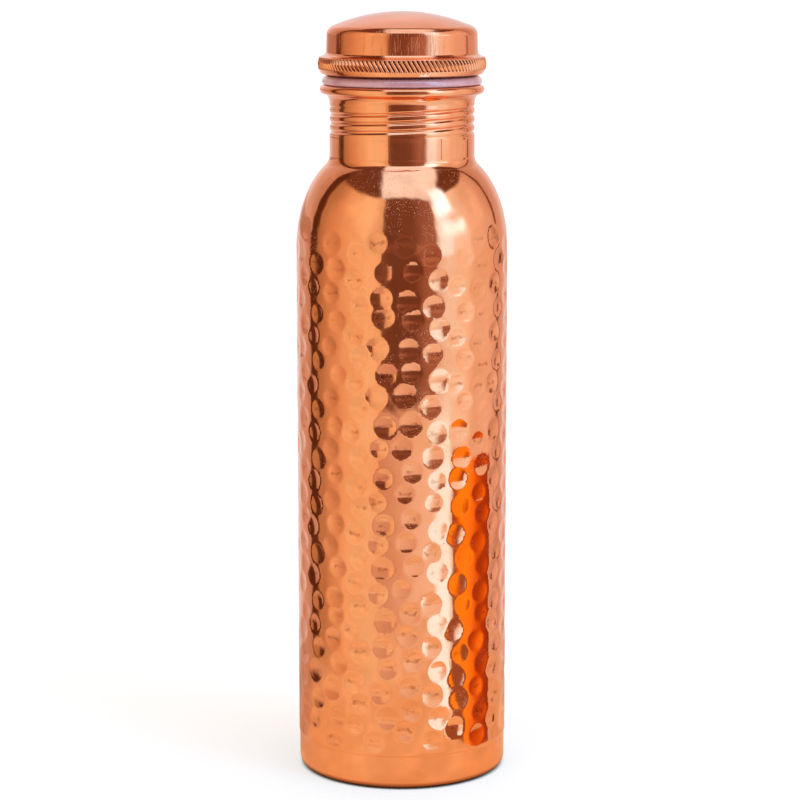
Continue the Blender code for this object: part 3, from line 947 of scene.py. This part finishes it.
def studio_world():
    """Light by direction, which copper mirrors; the camera itself sees plain white."""
    world = bpy.data.worlds.new("studio")
    bpy.context.scene.world = world
    world.use_nodes = True
    tree = world.node_tree
    tree.nodes.clear()
    direction = add(tree, "ShaderNodeTexCoord").outputs["Generated"]
    azimuth, _, up = compass(tree, direction)
    elevation = calc(tree, "MULTIPLY", calc(tree, "ARCSINE", up), 180 / math.pi)
    colour = gradient(tree, azimuth, AROUND)
    across, behind = ceiling(tree, direction)
    for kind, sides, levels, softness, light in PANELS:
        where = (azimuth, elevation) if kind == "wall" else (across, behind)
        mask = soft_window(tree, *where, sides, levels, softness)
        colour = mixed(tree, mask, colour, stored(light))
    uneven = ramp(tree, noise(tree, direction, 2.6, 2, 0.5), 0.3, 0.7, 0.88 * GAIN, 1.08 * GAIN)
    studio = add(tree, "ShaderNodeBackground", {"Color": colour, "Strength": uneven})
    plain = add(tree, "ShaderNodeBackground", {"Color": (1, 1, 1, 1), "Strength": 1.0})
    seen = add(tree, "ShaderNodeLightPath").outputs["Is Camera Ray"]
    both = add(tree, "ShaderNodeMixShader",
               {0: seen, 1: studio.outputs[0], 2: plain.outputs[0]})
    add(tree, "ShaderNodeOutputWorld", {"Surface": both.outputs[0]})


def stage_sheet(name, corners, material):
    """A plain four-cornered sheet of the studio."""
    mesh = bpy.data.meshes.new(name)
    mesh.from_pydata(corners, [], [(0, 1, 2, 3)])
    mesh.materials.append(material)
    obj = bpy.data.objects.new(name, mesh)
    bpy.context.collection.objects.link(obj)
    return obj


def lying(reach, z):
    """Corners of a level sheet that reaches this far each way from the axis."""
    return [(-reach, -reach, z), (reach, -reach, z), (reach, reach, z), (-reach, reach, z)]


def standing(start, end, low, high):
    """Corners of an upright sheet over the line between two (x, y) places."""
    return [(*start, low), (*end, low), (*end, high), (*start, high)]


def floor_material():
    """Pale floor that glows evenly, but not under the foot, so that it stays in shadow there."""
    material, tree, shader = new_material("pale_floor")
    place = add(tree, "ShaderNodeNewGeometry").outputs["Position"]
    _, reach, _ = compass(tree, place)
    glow = ramp(tree, reach, 0.0342, 0.0366, 0.0, 0.62)
    shader.inputs["Base Color"].default_value = (0.66, 0.59, 0.52, 1)
    shader.inputs["Roughness"].default_value = 0.9
    shader.inputs["Specular IOR Level"].default_value = 0.0
    shader.inputs["Emission Color"].default_value = (1.0, 1.0, 0.985, 1)
    tree.links.new(glow, shader.inputs["Emission Strength"])
    return material


def glow_material(name, paint):
    """Light that stands in the studio; paint(tree, place) gives its colour and its mask."""
    material = bpy.data.materials.new(name)
    material.use_nodes = True
    tree = material.node_tree
    tree.nodes.clear()
    place = add(tree, "ShaderNodeNewGeometry").outputs["Position"]
    colour, mask = paint(tree, place)
    glow = add(tree, "ShaderNodeEmission", {"Color": colour, "Strength": GAIN})
    clear = add(tree, "ShaderNodeBsdfTransparent")
    both = add(tree, "ShaderNodeMixShader", {0: mask, 1: clear.outputs[0], 2: glow.outputs[0]})
    add(tree, "ShaderNodeOutputMaterial", {"Surface": both.outputs[0]})
    return material


def paint_table(tree, place):
    """The table near the bottle and in front of it, with a gap where the warm card stands."""
    azimuth, reach, up = compass(tree, place)
    sides = mixed(tree, 1.0, gradient(tree, reach, TABLE), gradient(tree, azimuth, TABLE_SIDES),
                  "MULTIPLY")
    cloud = ramp(tree, noise(tree, place, 30, 2, 0.5), 0.3, 0.7, 0.86 * GAIN, 1.06 * GAIN)
    colour = add(tree, "ShaderNodeVectorMath", {0: sides, "Scale": cloud}, operation="SCALE")
    near = ramp(tree, reach, 0.13, 0.24, 1, 0)
    front = soft_window(tree, azimuth, up, (-24, 42), (0, 0), (2, 2, 0, 0))
    x, y, _ = add(tree, "ShaderNodeSeparateXYZ", {"Vector": place}).outputs
    gap = soft_window(tree, x, y, (0.068, 0.1), (-0.083, 0.006), (0.002, 0.001, 0.002, 0.002))
    mask = calc(tree, "MULTIPLY", calc(tree, "MAXIMUM", near, front),
                calc(tree, "SUBTRACT", 1.0, gap))
    return colour.outputs[0], mask


def paint_sill(tree, place):
    """A low upright board in front, soft along its top."""
    azimuth, _, up = compass(tree, place)
    return gradient(tree, azimuth, SILL), ramp(tree, up, 0.088, 0.095, 1, 0)


def paint_strip(tree, place):
    """An upright strip light with soft sides and a soft top."""
    azimuth, _, up = compass(tree, place)
    mask = soft_window(tree, azimuth, up, (32, 46.5), (0.0, 0.113), (2.5, 2.0, 0.0, 0.01))
    return stored(STRIP_LIGHT), mask


def paint_card(tree, place):
    """An orange card, dim in its lower corner on the camera's side."""
    _, y, z = add(tree, "ShaderNodeSeparateXYZ", {"Vector": place}).outputs
    start = ramp(tree, z, -0.03, 0.075, -0.045, -0.084, smooth=False)
    corner = ramp(tree, calc(tree, "SUBTRACT", y, start), -0.003, 0.003, 1, 0)
    return mixed(tree, corner, gradient(tree, y, CARD), stored(CARD_CORNER)), 1.0


def build_stage():
    """A pale floor, and a table, a sill, a strip light and a warm card that only copper mirrors."""
    floor = stage_sheet("floor", lying(30, -0.0001), floor_material())
    floor.visible_glossy = False
    table = lying(0.3, -0.00005)
    sill = standing((-0.115, -0.26), (0.205, -0.26), 0, 0.1)
    strip = standing((0.056, -0.119), (0.104, -0.078), 0, 0.13)
    card = standing((0.1, -0.085), (0.1, 0.008), -0.03, 0.1)
    mirrored = [
        stage_sheet("table", table, glow_material("table", paint_table)),
        stage_sheet("sill", sill, glow_material("sill", paint_sill)),
        stage_sheet("strip_light", strip, glow_material("strip_light", paint_strip)),
        stage_sheet("warm_card", card, glow_material("warm_card", paint_card)),
    ]
    for obj in mirrored:
        obj.visible_camera = False
        obj.visible_diffuse = False
        obj.visible_shadow = False


def camera():
    """The photograph's view: a long lens, a little above the bottle."""
    data = bpy.data.cameras.new("camera")
    data.lens = LENS
    data.sensor_width = SENSOR
    data.clip_end = 100
    obj = bpy.data.objects.new("camera", data)
    obj.location = CAMERA_AT
    obj.rotation_euler = (math.radians(90 - CAMERA_PITCH), 0, 0)
    bpy.context.collection.objects.link(obj)
    bpy.context.scene.camera = obj


# ---------------------------------------------------------------- assembly

camera()
studio_world()
build_stage()
bpy.context.scene.view_settings.view_transform = "Standard"
bpy.context.scene.cycles.caustics_reflective = False

hammered_copper = copper("hammered_copper", polish=(0.06, 0.12), lathe=0.03, scratches=0.1,
                         specks=3.5, hammered=True)
turned_copper = copper("turned_copper", polish=(0.08, 0.14), lathe=0.12, scratches=0.3)
ring_copper = copper("ring_copper", polish=(0.08, 0.14), lathe=0.12, scratches=0.3, knurled=True)
lid_copper = copper("lid_copper", tone=(0.98, 0.86, 0.84), polish=(0.12, 0.19), lathe=0.08,
                    scratches=1.7)
inner_copper = copper("inner_copper", tone=(0.9, 0.9, 0.9), polish=(0.16, 0.26), lathe=0.5)
filler = copper("filler", tone=(0.98, 0.96, 0.95), polish=(0.08, 0.14), lathe=0.1)

finish_piece(hammered_wall(), "bottle", ["body_shell"], hammered_copper)
finish_piece(base_pan(), "bottle", ["base_pan"], inner_copper)
finish_piece(base_braze(), "bottle", ["base_braze"], filler)
finish_piece(neck_collar(), "bottle", ["neck_collar"], turned_copper)
finish_piece(neck_braze(), "bottle", ["neck_braze"], filler)
finish_piece(seal_ring(), "seal", ["seal_ring"], silicone("silicone"))
finish_piece(plug_sleeve(), "lid", ["plug_sleeve"], inner_copper)
finish_piece(plug_floor(), "lid", ["plug_floor"], inner_copper)
finish_piece(knurled_ring(), "lid", ["knurled_ring"], ring_copper)
finish_piece(lid_crown(), "lid", ["lid_crown"], lid_copper)
finish_piece(lid_braze(), "lid", ["lid_braze"], filler)
